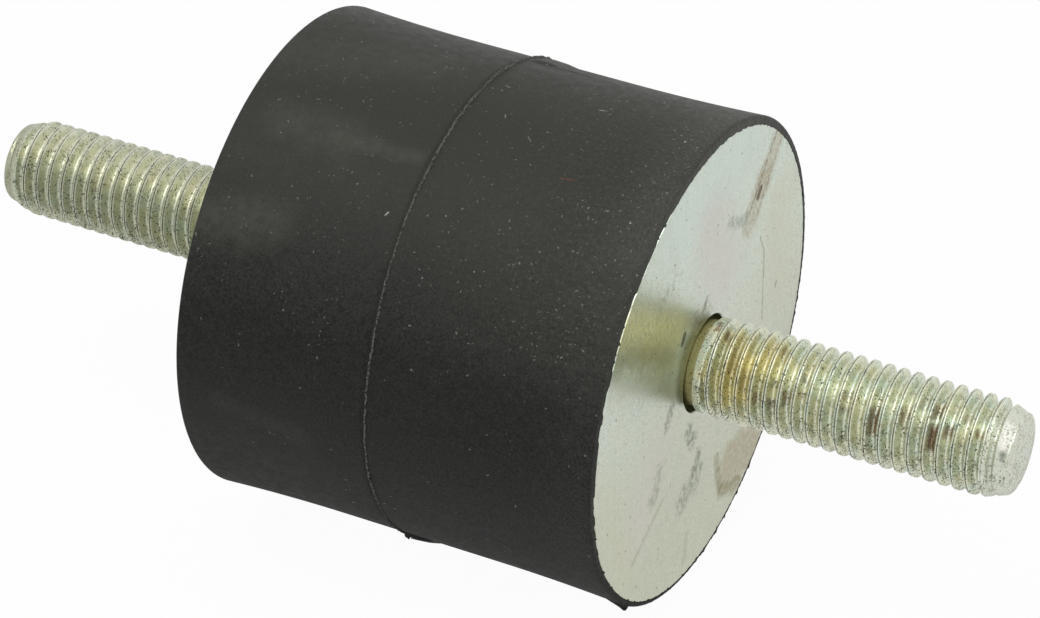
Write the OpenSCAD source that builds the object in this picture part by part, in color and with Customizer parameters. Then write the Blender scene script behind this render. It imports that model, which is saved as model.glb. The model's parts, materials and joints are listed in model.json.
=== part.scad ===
// Cylindrical rubber buffer with a bonded steel plate and a headed threaded stud at each end.
// The axis lies along X, with the front stud towards +X. The origin is at the middle of the buffer.

/* [Rubber body] */
// Height over the outer faces of the two plates
body_h = 45; // [40:0.5:80]
// Widest diameter, at the two bonded ends
end_d = 49.85; // [44:0.05:60]
// How far the waist lies in from the ends, on the radius
waist_in = 0.4; // [0.1:0.05:2]
// Length of the flare between the waist and each end
flare_l = 13.5; // [4:0.5:15]
// Rubber left around the edge of each plate
rim_w = 0.65; // [0.55:0.05:3]
// Rounding of the rubber's outer edges
edge_r = 0.3; // [0.1:0.05:0.55]

/* [Parting line] */
// Distance of the parting line from mid-height, towards the rear
seam_offset = 1.8; // [0:0.1:4]
// Height of the moulding flash along the parting line
seam_h = 0.35; // [0.1:0.05:0.4]
// Width of the flash at its root
seam_w = 0.8; // [0.3:0.1:2]

/* [End plates] */
// Thickness of each plate
plate_t = 3; // [1.5:0.1:6]
// Clearance of the stud in its hole, on the radius
hole_gap = 0.1; // [0.05:0.05:1]
// Bevel of the hole's outer edge
hole_bevel = 0.1; // [0.05:0.05:0.5]

/* [Studs] */
// Length of each stud outside its plate
stud_l = 33.3; // [15:0.1:60]
// Crest diameter of the thread
thread_d = 9.85; // [7:0.05:12]
// Step down from the crests to the plain neck, on the radius
neck_step = 0.55; // [0.1:0.05:0.8]
// Length of the plain neck outside the plate
neck_l = 1; // [0.2:0.1:3]
// Length of the bevel at the tip
tip_l = 2.6; // [0.5:0.05:4]
// Step down from the crests to the flat of the tip, on the radius
tip_step = 0.8; // [0.3:0.05:2]
// Rounding between the bevel and the flat of the tip
tip_round = 0.4; // [0.1:0.05:1]
// Diameter of the head behind the plate
head_d = 18; // [15:0.5:24]
// Thickness of the head
head_h = 4; // [2:0.1:8]
// Bevel around the head's inner face
head_bevel = 0.8; // [0.2:0.1:1.5]

/* [Hidden] */
$fn = 96;

// Straight steps in each flare and in each rounded edge
flare_steps = 12;
edge_steps = 6;

face_x = body_h / 2;
seat_x = face_x - plate_t;
head_x = seat_x - head_h;
end_r = end_d / 2;
waist_r = end_r - waist_in;
waist_x = face_x - edge_r - flare_l;
plate_r = end_r - rim_w;
thread_r = thread_d / 2;
neck_r = thread_r - neck_step;
tip_r = thread_r - tip_step;
hole_r = thread_r + hole_gap;
head_r = head_d / 2;

// Profiles are lists of [radius, place along the axis]

function mirrored(points) = [for (p = points) [p[0], -p[1]]];

function backwards(points) = [for (i = [len(points) - 1:-1:0]) points[i]];

// Rounded edge of the rubber, from its end face out to its widest ring
edge_round = [
    for (i = [0:edge_steps])
        let (angle = 90 * (1 - i / edge_steps))
        [end_r - edge_r * (1 - cos(angle)), face_x - edge_r * (1 - sin(angle))]
];

// Flare from the widest ring in to the waist, where the rubber shrank between its plates
flare = [
    for (i = [1:flare_steps])
        let (t = 1 - i / flare_steps)
        [waist_r + waist_in * t * t, waist_x + flare_l * t]
];

// Flash squeezed out where the two halves of the mould met
seam = [
    [waist_r, -seam_offset + seam_w / 2],
    [waist_r + seam_h, -seam_offset],
    [waist_r, -seam_offset - seam_w / 2]
];

front_outline = concat(edge_round, flare);

// Inner face of the head, from the plate's seat to the axis: shared by the stud and the rubber round it
head_outline = [
    [head_r, seat_x],
    [head_r, head_x + head_bevel],
    [head_r - head_bevel, head_x],
    [0, head_x]
];

// Seat in the rubber for a plate and the head behind it, from the rim in to the axis
socket = concat([[plate_r, face_x], [plate_r, seat_x]], head_outline);

// Rounded edge of a stud's tip, from its bevel to its flat end
tip_edge = [
    for (i = [0:edge_steps])
        let (angle = 90 * i / edge_steps)
        [tip_r - tip_round * (1 - cos(angle)), face_x + stud_l - tip_round * (1 - sin(angle))]
];

// Turns a profile about the X axis
module turned(points) {
    rotate([0, 90, 0])
        rotate_extrude()
            polygon(points);
}

module rubber_body() {
    color([0.16, 0.16, 0.155])
        turned(concat(
            front_outline,
            seam,
            backwards(mirrored(front_outline)),
            mirrored(socket),
            backwards(socket)
        ));
}

// Flat disc with a bevelled hole, seen at the front end
module plate() {
    color([0.76, 0.79, 0.75])
        turned([
            [hole_r, seat_x],
            [plate_r, seat_x],
            [plate_r, face_x],
            [hole_r + hole_bevel, face_x],
            [hole_r, face_x - hole_bevel]
        ]);
}

// Headed stud, drawn at the crests of its thread, seen at the front end
module stud() {
    color([0.66, 0.65, 0.5])
        turned(concat(
            backwards(head_outline),
            [
                [neck_r, seat_x],
                [neck_r, face_x + neck_l],
                [thread_r, face_x + neck_l + neck_step],
                [thread_r, face_x + stud_l - tip_l]
            ],
            tip_edge,
            [[0, face_x + stud_l]]
        ));
}

module front_plate() {
    plate();
}

module rear_plate() {
    mirror([1, 0, 0])
        plate();
}

module front_stud() {
    stud();
}

module rear_stud() {
    mirror([1, 0, 0])
        stud();
}

rubber_body();
front_plate();
rear_plate();
front_stud();
rear_stud();
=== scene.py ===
# %% [markdown]
# A radiator mount of this kind is a short block of black rubber with a zinc-plated steel plate and a
# threaded stud bonded into each end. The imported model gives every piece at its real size, so this lesson
# only dresses it: ragged moulding flash on the rubber, true threads on the studs, and finishes that have
# seen some use.

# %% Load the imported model
import json
import math

import bpy
from mathutils import Matrix, Vector, noise


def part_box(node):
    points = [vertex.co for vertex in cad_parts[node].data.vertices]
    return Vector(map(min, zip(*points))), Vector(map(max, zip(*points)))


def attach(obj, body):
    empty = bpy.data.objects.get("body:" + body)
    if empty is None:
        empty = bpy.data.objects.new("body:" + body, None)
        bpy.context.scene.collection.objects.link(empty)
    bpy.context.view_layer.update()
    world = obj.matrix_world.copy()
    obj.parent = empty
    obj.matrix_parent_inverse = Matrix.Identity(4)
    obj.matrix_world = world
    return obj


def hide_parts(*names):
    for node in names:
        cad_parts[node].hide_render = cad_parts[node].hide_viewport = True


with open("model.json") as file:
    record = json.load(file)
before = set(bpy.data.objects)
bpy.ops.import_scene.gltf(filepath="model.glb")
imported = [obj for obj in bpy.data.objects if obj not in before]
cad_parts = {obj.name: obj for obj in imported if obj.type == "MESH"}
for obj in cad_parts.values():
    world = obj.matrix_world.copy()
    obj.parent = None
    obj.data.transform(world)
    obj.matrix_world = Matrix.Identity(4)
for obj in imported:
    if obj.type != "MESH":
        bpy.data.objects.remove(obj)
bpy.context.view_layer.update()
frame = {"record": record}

MM = 0.001

# %% [markdown]
# The camera comes first, because everything after it is judged through it. A long lens a little under half
# a metre away gives the gentle perspective of the photograph. Its place was found by fitting the outline of
# the rubber and the rim of the plate, with the buffer lying level and the camera held upright.

# %% Place the camera
PHOTO_W = 1040
FOCAL_PIXELS = 4657
SENSOR_W = 36.0
CAMERA_AZIMUTH = math.radians(26.65)
CAMERA_ELEVATION = math.radians(35.70)
CAMERA_PLACE = Vector((171.02, -335.76, 269.97)) * MM

bpy.ops.object.select_all(action="DESELECT")
bpy.ops.object.camera_add(
    location=CAMERA_PLACE, rotation=(math.pi / 2 - CAMERA_ELEVATION, 0, CAMERA_AZIMUTH))
camera = bpy.context.object
camera.data.sensor_width = SENSOR_W
camera.data.lens = SENSOR_W * FOCAL_PIXELS / PHOTO_W
camera.data.clip_start = 10 * MM
bpy.context.scene.camera = camera
bpy.context.scene.view_settings.view_transform = "Standard"
print("lens", round(camera.data.lens, 1), "mm")

# %% [markdown]
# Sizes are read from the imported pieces, so the dressed pieces fit them. What the boxes can't tell, such as
# the shape of a thread or how far the flash stands out, is written further on as a real size.

# %% Read the sizes of the pieces
rubber_low, rubber_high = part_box("rubber_body")
plate_low, plate_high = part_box("front_plate")
stud_low, stud_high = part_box("front_stud")
mounts = {mount["name"]: mount for mount in frame["record"]["mounts"]}

END_R = rubber_high.z
FACE_X = plate_high.x
SEAT_X = plate_low.x
PLATE_R = plate_high.z
HEAD_X = stud_low.x
HEAD_R = stud_high.z
TIP_X = stud_high.x
CREST_R = mounts["front_stud"]["dims"]["r_mm"] * MM
FLOOR_Z = rubber_low.z
print("rubber", round(END_R / MM, 2), "plate", round(PLATE_R / MM, 2), "stud tip", round(TIP_X / MM, 2))

# %% [markdown]
# Turned pieces can start from a ready cylinder, but then each ring has to be moved by hand. Drawing half
# the section and spinning it is closer to a lathe. A plane merged into one vertex is the pencil: it is set
# on the first point and extruded from point to point, and the spin then carries the line round the X axis.

# %% Helpers that draw and turn an outline
MERGE = 0.0005 * MM


def start_outline(name, points):
    """Draws points, given as (along, radius), as one line above the X axis, and stays in edit mode."""
    bpy.ops.object.select_all(action="DESELECT")
    bpy.ops.mesh.primitive_plane_add(size=MM)
    piece = bpy.context.object
    piece.name = name
    piece.data.name = name
    bpy.ops.object.mode_set(mode="EDIT")
    bpy.ops.mesh.select_mode(type="VERT")
    bpy.ops.mesh.merge(type="CENTER")
    along, radius = points[0]
    bpy.ops.transform.translate(value=(along, 0, radius))
    for (along, radius), (next_along, next_radius) in zip(points, points[1:]):
        step = (next_along - along, 0, next_radius - radius)
        bpy.ops.mesh.extrude_region_move(TRANSFORM_OT_translate={"value": step})
    return piece


def close_up():
    """Merges doubles and turns every face outwards, then leaves edit mode."""
    bpy.ops.mesh.select_all(action="SELECT")
    bpy.ops.mesh.remove_doubles(threshold=MERGE)
    bpy.ops.mesh.normals_make_consistent(inside=False)
    bpy.ops.object.mode_set(mode="OBJECT")


def turn(name, points, steps):
    """A solid of revolution about the X axis."""
    piece = start_outline(name, points)
    bpy.ops.mesh.select_all(action="SELECT")
    bpy.ops.mesh.spin(steps=steps, angle=2 * math.pi, center=(0, 0, 0), axis=(1, 0, 0))
    close_up()
    print(name, len(piece.data.polygons), "faces")
    return piece


def reshape(piece, rule):
    """Moves each vertex by rule, which takes and gives (along, radius, angle)."""
    for vertex in piece.data.vertices:
        along, y, z = vertex.co
        along, radius, angle = rule(along, math.hypot(y, z), math.atan2(z, y))
        vertex.co = (along, radius * math.cos(angle), radius * math.sin(angle))
    piece.data.update()


def smooth(piece, degrees):
    """Smooth shading, with edges sharper than the angle kept crisp."""
    bpy.ops.object.select_all(action="DESELECT")
    piece.select_set(True)
    bpy.context.view_layer.objects.active = piece
    bpy.ops.object.shade_smooth_by_angle(angle=math.radians(degrees))


def eased(value, low, high):
    """0 below low, 1 above high and a smooth step between."""
    t = min(max((value - low) / (high - low), 0.0), 1.0)
    return t * t * (3 - 2 * t)


def near_angle(angle, degrees, width):
    """1 at an angle given in degrees, falling to 0 at width degrees from it."""
    gap = abs((math.degrees(angle) - degrees + 180) % 360 - 180)
    return max(0.0, 1 - gap / width)


def ripple(angle, waves, seed):
    """Smooth noise round the axis, about -1 to 1, with no seam where the turn closes."""
    ring = Vector((math.cos(angle), math.sin(angle), 0)) * waves / math.tau
    return 2 * noise.noise(ring + Vector((0, 0, seed)))


# %% [markdown]
# The thread is rolled: its flanks are squeezed up out of the bar, so each crest has a fold where they meet.
# The Screw modifier winds one tooth of the outline into a helix, so crests and roots run along clean edges.
# Moving the vertices afterwards fades the thread into a plain collar and a neck, and limits it to the
# bevelled tip, which a boolean cut would do less cleanly.

# %% Thread sizes
PITCH = 1.5 * MM
THREAD_DEPTH = 0.85 * MM
ROOT_R = CREST_R - THREAD_DEPTH
FIRST_ROOT = SEAT_X - 2 * PITCH
NECK_R = CREST_R - 0.55 * MM
NECK_END = FACE_X + 0.95 * MM
COLLAR_R = CREST_R - 0.12 * MM
COLLAR_END = NECK_END + 0.75 * MM
RUN_OUT = 0.45 * MM
NECK_RAMP = 0.08 * MM
TIP_R = CREST_R - 0.8 * MM
TIP_BEVEL = 2.6 * MM
TIP_ROUND = 0.4 * MM
HEAD_BEVEL = 0.8 * MM
TURN_STEPS = 96
# Half a tooth, from mid root to mid crest: shares of half the pitch and of the depth
HALF_TOOTH = [(0.0, 0.0), (0.13, 0.012), (0.25, 0.075), (0.40, 0.31), (0.55, 0.58), (0.69, 0.83),
              (0.75, 0.93), (0.80, 0.985), (0.84, 1.0), (0.885, 0.985), (0.94, 0.92), (1.0, 0.82)]


def tooth_outline():
    """One pitch of the thread from root to root, as (along, radius)."""
    rise = [(along * PITCH / 2, ROOT_R + height * THREAD_DEPTH) for along, height in HALF_TOOTH]
    fall = [(PITCH - along, radius) for along, radius in reversed(rise[:-1])]
    return rise + fall


def tip_limit(along, tip_x):
    """Largest radius at a place near the tip: a bevel with a rounded end."""
    left = tip_x - along
    if left > TIP_ROUND:
        return TIP_R + (CREST_R - TIP_R) * (left - TIP_ROUND) / (TIP_BEVEL - TIP_ROUND)
    dip = 1 - max(left, 0.0) / TIP_ROUND
    return TIP_R - TIP_ROUND * (1 - math.sqrt(1 - dip * dip))


def stud_rule(tip_x):
    """Fades the thread into the collar and neck behind it, and limits it to the bevel in front."""
    def rule(along, radius, angle):
        plain = NECK_R + (COLLAR_R - NECK_R) * eased(along, NECK_END, NECK_END + NECK_RAMP)
        radius = plain + (radius - plain) * eased(along, COLLAR_END, COLLAR_END + RUN_OUT)
        return along, min(radius, tip_limit(along, tip_x)), angle
    return rule


print("thread root radius", round(ROOT_R / MM, 3), "crest radius", round(CREST_R / MM, 3))

# %% [markdown]
# The wound thread is longer than the stud, so both ends are sliced off. The tip is closed by the slice. At
# the other end the open ring is extruded into the flat head that sits in the rubber behind the plate.
# Neither stud stands quite true in its hole, and the rear one was cut a little shorter.

# %% Wind and trim the studs
FRONT_PHASE = 10
REAR_PHASE = 186
FRONT_LEAN = 0.11 * MM
REAR_LEAN = 0.33 * MM
REAR_SHORT = 0.70 * MM


def slice_off(place, normal, fill):
    """Cuts the mesh in edit mode at a plane, keeps what lies behind it and leaves the cut selected."""
    bpy.ops.mesh.select_all(action="SELECT")
    bpy.ops.mesh.bisect(
        plane_co=place, plane_no=normal, clear_outer=True, use_fill=fill, threshold=0.01 * MERGE)


def grow_head():
    """Extrudes the selected ring at the seat into a round head with a bevelled underside."""
    last = NECK_R
    underside = SEAT_X - HEAD_X - HEAD_BEVEL
    for radius, drop in ((HEAD_R, 0.0), (HEAD_R, underside), (HEAD_R - HEAD_BEVEL, HEAD_BEVEL)):
        bpy.ops.mesh.extrude_region_move(TRANSFORM_OT_translate={"value": (-drop, 0, 0)})
        bpy.ops.transform.resize(value=(1, radius / last, radius / last), center_override=(0, 0, 0))
        last = radius
    bpy.ops.mesh.edge_face_add()


def make_stud(name, tip_x, phase, lean):
    """A headed stud along +X with a right-hand thread, turned about its axis by phase and leaning upwards."""
    turns = math.ceil((tip_x - FIRST_ROOT) / PITCH) + 2
    piece = start_outline(name, [(FIRST_ROOT + along, radius) for along, radius in tooth_outline()])
    bpy.ops.object.mode_set(mode="OBJECT")
    screw = piece.modifiers.new("thread", "SCREW")
    screw.axis = "X"
    screw.angle = math.tau
    screw.screw_offset = PITCH
    screw.iterations = turns
    screw.steps = TURN_STEPS
    screw.render_steps = TURN_STEPS
    screw.use_merge_vertices = True
    screw.merge_threshold = MERGE
    bpy.ops.object.modifier_apply(modifier=screw.name)
    piece.data.transform(Matrix.Rotation(math.radians(phase), 4, "X"))
    reshape(piece, stud_rule(tip_x))
    bpy.ops.object.mode_set(mode="EDIT")
    bpy.ops.mesh.select_all(action="SELECT")
    bpy.ops.mesh.remove_doubles(threshold=MERGE)
    slice_off((tip_x, 0, 0), (1, 0, 0), fill=True)
    slice_off((SEAT_X, 0, 0), (-1, 0, 0), fill=False)
    grow_head()
    close_up()
    for vertex in piece.data.vertices:
        vertex.co.z += lean * eased(vertex.co.x, SEAT_X, FACE_X)
    smooth(piece, degrees=40)
    print(name, len(piece.data.polygons), "faces,", turns, "turns wound")
    return piece


ROUND_THE_BACK = Matrix.Rotation(math.pi, 4, "Z")
front_stud = make_stud("front_threaded_stud", TIP_X, FRONT_PHASE, FRONT_LEAN)
rear_stud = make_stud("rear_threaded_stud", TIP_X - REAR_SHORT, REAR_PHASE, REAR_LEAN)
rear_stud.data.transform(ROUND_THE_BACK)

# %% [markdown]
# The plates are punched discs. A punched edge is never quite sharp: the hole has a low burr and the rim a
# small bevel, which both catch the light, and the rim is nicked where flash was trimmed off with a knife.
# The front plate slipped down a little in the mould, and its hole is not quite in its middle.

# %% Turn the plates
HOLE_R = CREST_R + 0.1 * MM
HOLE_BEVEL = 0.1 * MM
BURR_HEIGHT = 0.06 * MM
BURR_WIDTH = 0.45 * MM
RIM_BEVEL = 0.08 * MM
PLATE_STEPS = 480
NICK_DEPTH = 0.08 * MM
PLATE_SLIP = Vector((0, 0.04, -0.20)) * MM
HOLE_SLIP = Vector((0, 0.42, -0.32)) * MM


def plate_rule(along, radius, angle):
    """Nicks the outer rim."""
    if radius > PLATE_R - 2 * RIM_BEVEL and along > FACE_X - 2 * RIM_BEVEL:
        radius -= NICK_DEPTH * eased(ripple(angle, 150, 3.7), 0.25, 0.8)
    return along, radius, angle


def make_plate(name):
    """A disc with a burred hole and a nicked, bevelled rim."""
    outline = [
        (SEAT_X, HOLE_R), (FACE_X - HOLE_BEVEL, HOLE_R), (FACE_X + BURR_HEIGHT, HOLE_R + HOLE_BEVEL),
        (FACE_X + 0.8 * BURR_HEIGHT, HOLE_R + HOLE_BEVEL + 0.25 * BURR_WIDTH),
        (FACE_X, HOLE_R + HOLE_BEVEL + BURR_WIDTH), (FACE_X, PLATE_R - 8 * RIM_BEVEL),
        (FACE_X, PLATE_R - RIM_BEVEL), (FACE_X - RIM_BEVEL, PLATE_R), (SEAT_X, PLATE_R), (SEAT_X, HOLE_R)]
    piece = turn(name, outline, PLATE_STEPS)
    reshape(piece, plate_rule)
    smooth(piece, degrees=30)
    return piece


front_plate = make_plate("front_zinc_plate")
for vertex in front_plate.data.vertices:
    radius = math.hypot(vertex.co.y, vertex.co.z)
    vertex.co += HOLE_SLIP.lerp(PLATE_SLIP, eased(radius, HOLE_R, PLATE_R))
rear_plate = make_plate("rear_zinc_plate")
rear_plate.data.transform(ROUND_THE_BACK)

# %% [markdown]
# The rubber was moulded round the plates. It shrank as it cooled, so it is waisted and flares to its bonded
# ends. Flash stands along the parting line, where the two halves of the mould met, and a thin lip of rubber
# has crept over the rim of each plate. Half the section is drawn first, with the socket that holds the
# plate and the head of the stud, and the other end is the same line reflected.

# %% Rubber outline
WAIST_IN = 0.4 * MM
FLARE = 13.5 * MM
EDGE_ROUND = 0.3 * MM
SEAM_X = -1.8 * MM
SEAM_HEIGHT = 0.34 * MM
SEAM_HALF = 0.15 * MM
GROOVE_DEPTH = 0.10 * MM
LIP_IN = 0.22 * MM
LIP_THICK = 0.04 * MM
BARE_DEPTH = 0.08 * MM
BARE_GAP = 0.02 * MM
WAIST_R = END_R - WAIST_IN
WAIST_X = FACE_X - EDGE_ROUND - FLARE
EDGE_POINTS = 5
FLARE_POINTS = 9


def end_outline():
    """Outer line of one end, from the lip on the plate round the edge to the start of the waist."""
    line = [(FACE_X + LIP_THICK, PLATE_R - LIP_IN), (FACE_X + LIP_THICK, PLATE_R)]
    for i in range(EDGE_POINTS + 1):
        angle = math.pi / 2 * (1 - i / EDGE_POINTS)
        line.append((FACE_X - EDGE_ROUND * (1 - math.sin(angle)), END_R - EDGE_ROUND * (1 - math.cos(angle))))
    for i in range(1, FLARE_POINTS + 1):
        share = 1 - i / FLARE_POINTS
        line.append((WAIST_X + FLARE * share, WAIST_R + WAIST_IN * share * share))
    return line


def socket_outline():
    """Inner line of one end, from the axis past the stud's head and the plate to the lip's underside."""
    return [(HEAD_X, 0.0), (HEAD_X, HEAD_R - HEAD_BEVEL), (HEAD_X + HEAD_BEVEL, HEAD_R), (SEAT_X, HEAD_R),
            (SEAT_X, PLATE_R), (FACE_X, PLATE_R), (FACE_X, PLATE_R - LIP_IN)]


def reflected(line):
    """The same line at the rear end, in the opposite order."""
    return [(-along, radius) for along, radius in reversed(line)]


def seam_outline():
    """A fin of flash between the two halves of the mould, with a shallow groove behind it."""
    steps = [(5.0, 0.0), (4.4, 0.0), (3.2, 0.0), (1.6, 0.0), (0.9, 0.12), (0.5, 0.9), (0.0, 1.0),
             (-0.4, 0.85), (-0.8, -0.2)]
    line = [(SEAM_X + along * SEAM_HALF, WAIST_R + height * SEAM_HEIGHT) for along, height in steps]
    groove = [(SEAM_X - along * SEAM_HALF, WAIST_R - depth * GROOVE_DEPTH)
              for along, depth in ((1.3, 1.0), (2.2, 0.9), (3.2, 0.0), (5.0, 0.0))]
    return line + groove


print(len(end_outline()), "points on each end of the rubber,", len(seam_outline()), "on its seam")

# %% [markdown]
# The mould leaves nothing even. Vertices of the turned rubber are moved by noise round the axis: the fin is
# torn, most of all on top, and in two places it lies flat to the front. The lip comes and goes, and on one
# side the rubber lies a little below the plate, so that the plate's bright edge shows.

# %% Turn the rubber and tear its flash
RUBBER_STEPS = 1080
# Middle angle and half width in degrees, and height in mm, of the places where flash lies flat to the front
FLAPS = [(57, 10, 0.26), (-130, 4.5, 0.42)]
FLAP_LENGTH = 2.5 * MM
# Middle angle and half width in degrees of the notches in the fin
FIN_NOTCHES = [(89, 1.6), (74, 1.0), (98, 0.8)]
# The same, with the height in mm, of the tags of rubber on the front rim
RIM_TAGS = [(-131, 1.1, 0.50), (-135, 1.0, 0.30), (-67, 0.9, 0.25), (-79, 0.8, 0.3), (-86, 1.2, 0.3)]


def torn_fin(angle):
    """Height of the flash at an angle, as a share of its drawn height."""
    upper = near_angle(angle, 84, 50)
    height = 0.40 + 0.34 * eased(upper, 0, 0.5) + 0.18 * ripple(angle, 60, 1.3)
    height += (0.12 + 0.30 * upper) * ripple(angle, 420, 5.1)
    for degrees, width in FIN_NOTCHES:
        height *= 1 - 0.95 * near_angle(angle, degrees, width)
    return max(height, 0.06)


def flap_height(angle):
    """Height of the flap that lies in front of the fin."""
    return MM * max(height * eased(near_angle(angle, degrees, width), 0, 0.3)
                    for degrees, width, height in FLAPS)


def near_side(angle):
    """1 on the side where the rubber has shrunk below the plate, 0 on the rest of the rim."""
    return eased(near_angle(angle, 162, 62), 0.0, 0.35)


def lip_reach(angle):
    """How far the lip has crept over the plate, as a share of its drawn width."""
    top = near_angle(angle, 75, 45)
    reach = 0.10 + 0.30 * eased(top, 0, 0.5) + (0.25 + 0.15 * top) * ripple(angle, 300, 4.4)
    reach *= 1 - near_side(angle)
    spikes = (1.4 - 0.7 * near_side(angle)) * max(0.0, ripple(angle, 330, 9.2) - 0.45)
    return min(max(reach, spikes, 0.03), 1.0)


def inside_box(radius, angle):
    """Keeps a ragged edge within the square that the turned rubber just fits."""
    return min(radius, END_R / max(abs(math.cos(angle)), abs(math.sin(angle))))


def rubber_rule(along, radius, angle):
    """Tears the fin, the lips and the front rim, and leaves the rest as turned."""
    ahead = (along - SEAM_X) / SEAM_HALF
    if abs(ahead) < 0.95:
        share = (radius - WAIST_R) / SEAM_HEIGHT
        if share > 0:
            height = torn_fin(angle) * SEAM_HEIGHT
            height = max(height, flap_height(angle) * (1.1 + 0.5 * ripple(angle, 500, 2.2)))
            radius = inside_box(WAIST_R + share * height, angle)
        along += 0.08 * MM * ripple(angle, 30, 8.2) + 0.05 * MM * ripple(angle, 260, 3.3)
    elif 0 < ahead < 6:
        flap = flap_height(angle)
        radius += flap * (1 - (ahead / 5) ** 3)
        along += FLAP_LENGTH * min(1.0, 4 * flap / MM) * ahead / 5
    elif abs(along) > FACE_X - MERGE and HEAD_R + MM < radius < PLATE_R + MERGE:
        reach = lip_reach(angle)
        bare = near_side(angle) * (1 - eased(reach, 0.05, 0.3)) * eased(ripple(angle, 90, 6.6), -0.3, 0.1)
        if radius < PLATE_R - MERGE:
            radius = PLATE_R - LIP_IN * reach + 1.5 * BARE_GAP * bare
        along -= math.copysign(LIP_THICK + BARE_DEPTH, along) * bare
    elif along > FACE_X - 1.2 * EDGE_ROUND and radius > PLATE_R + MERGE:
        inner = 1 - eased(radius, END_R - EDGE_ROUND, END_R)
        sunk = 0.02 + 0.10 * near_side(angle) + 0.03 * inner * ripple(angle, 300, 7.9)
        along -= MM * max(0.0, sunk)
        tag = max(gain * near_angle(angle, degrees, width) for degrees, width, gain in RIM_TAGS)
        crumb = 0.30 * near_angle(angle, -55, 75) * max(0.0, ripple(angle, 300, 12.5) - 0.4)
        radius = inside_box(radius + MM * max(tag, crumb), angle)
    return along, radius, angle


rubber_line = end_outline() + seam_outline() + reflected(end_outline())
rubber_line += reflected(socket_outline()) + socket_outline() + rubber_line[:1]
rubber = turn("moulded_rubber", rubber_line, RUBBER_STEPS)
reshape(rubber, rubber_rule)
for vertex in rubber.data.vertices:
    radius = math.hypot(vertex.co.y, vertex.co.z)
    if vertex.co.x > SEAT_X - MERGE and HEAD_R + MM < radius < PLATE_R + MERGE:
        vertex.co += PLATE_SLIP
    vertex.co.y = min(max(vertex.co.y, rubber_low.y), rubber_high.y)
smooth(rubber, degrees=35)

# %% [markdown]
# Node trees are easier to read when a line of code says what a node does to a value. These helpers take
# either a plain number or another node's output, and give back an output to pass on.

# %% Helpers that build node trees


def put(tree, kind, **settings):
    """Adds a shader node and sets its options."""
    node = tree.nodes.new("ShaderNode" + kind)
    for name, value in settings.items():
        setattr(node, name, value)
    return node


def feed(tree, socket, source):
    """Links an output to a socket, or sets the socket's own value."""
    if isinstance(source, bpy.types.NodeSocket):
        tree.links.new(source, socket)
    else:
        socket.default_value = source


def calc(tree, operation, a, b=0.0, clamp=False):
    """A Math node."""
    node = put(tree, "Math", operation=operation, use_clamp=clamp)
    feed(tree, node.inputs[0], a)
    feed(tree, node.inputs[1], b)
    return node.outputs[0]


def times(tree, *values):
    """The product of several values."""
    product = values[0]
    for value in values[1:]:
        product = calc(tree, "MULTIPLY", product, value)
    return product


def vector_calc(tree, operation, a, b, output="Vector"):
    """A Vector Math node."""
    node = put(tree, "VectorMath", operation=operation)
    feed(tree, node.inputs[0], a)
    feed(tree, node.inputs[1], b)
    return node.outputs[output]


def between(tree, value, low, high, out_low=0.0, out_high=1.0):
    """A smooth, clamped Map Range."""
    node = put(tree, "MapRange", interpolation_type="SMOOTHSTEP", clamp=True)
    for name, source in zip(("Value", "From Min", "From Max", "To Min", "To Max"),
                            (value, low, high, out_low, out_high)):
        feed(tree, node.inputs[name], source)
    return node.outputs["Result"]


def mix(tree, factor, a, b):
    """Two colours mixed by a factor."""
    node = put(tree, "Mix", data_type="RGBA")
    feed(tree, node.inputs[0], factor)
    feed(tree, node.inputs[6], a)
    feed(tree, node.inputs[7], b)
    return node.outputs[2]


def cloud(tree, place, scale, detail=3.0, rough=0.55):
    """Noise from 0 to 1 at so many features a metre."""
    node = put(tree, "TexNoise")
    feed(tree, node.inputs["Vector"], place)
    feed(tree, node.inputs["Scale"], scale)
    feed(tree, node.inputs["Detail"], detail)
    feed(tree, node.inputs["Roughness"], rough)
    return node.outputs["Fac"]


def split(tree, vector):
    """The X, Y and Z of a vector."""
    node = put(tree, "SeparateXYZ")
    feed(tree, node.inputs[0], vector)
    return node.outputs


def linear(red, green, blue):
    """A colour with full alpha."""
    return (red, green, blue, 1.0)


# %% [markdown]
# Some effects belong to more than one finish, so each is a node group that is built once. Specks scatters
# dust and dirt, Stroke lays a ragged mark between two points, which makes stains, scratches and rust alike,
# Streaks draws fine lines, and Thread tells where a point lies on the helix, from its place along and its
# angle.

# %% Shared effects as node groups


def new_group(name, inputs, outputs):
    """An empty shader group with named sockets: its tree, its inputs and its output node."""
    tree = bpy.data.node_groups.new(name, "ShaderNodeTree")
    for direction, sockets in (("INPUT", inputs), ("OUTPUT", outputs)):
        for socket_name, kind in sockets:
            tree.interface.new_socket(socket_name, in_out=direction, socket_type="NodeSocket" + kind)
    return tree, tree.nodes.new("NodeGroupInput").outputs, tree.nodes.new("NodeGroupOutput").inputs


def use(tree, group, **values):
    """Places a group in a tree with its own values."""
    node = put(tree, "Group", node_tree=group)
    for name, source in values.items():
        feed(tree, node.inputs[name], source)
    return node.outputs


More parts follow.
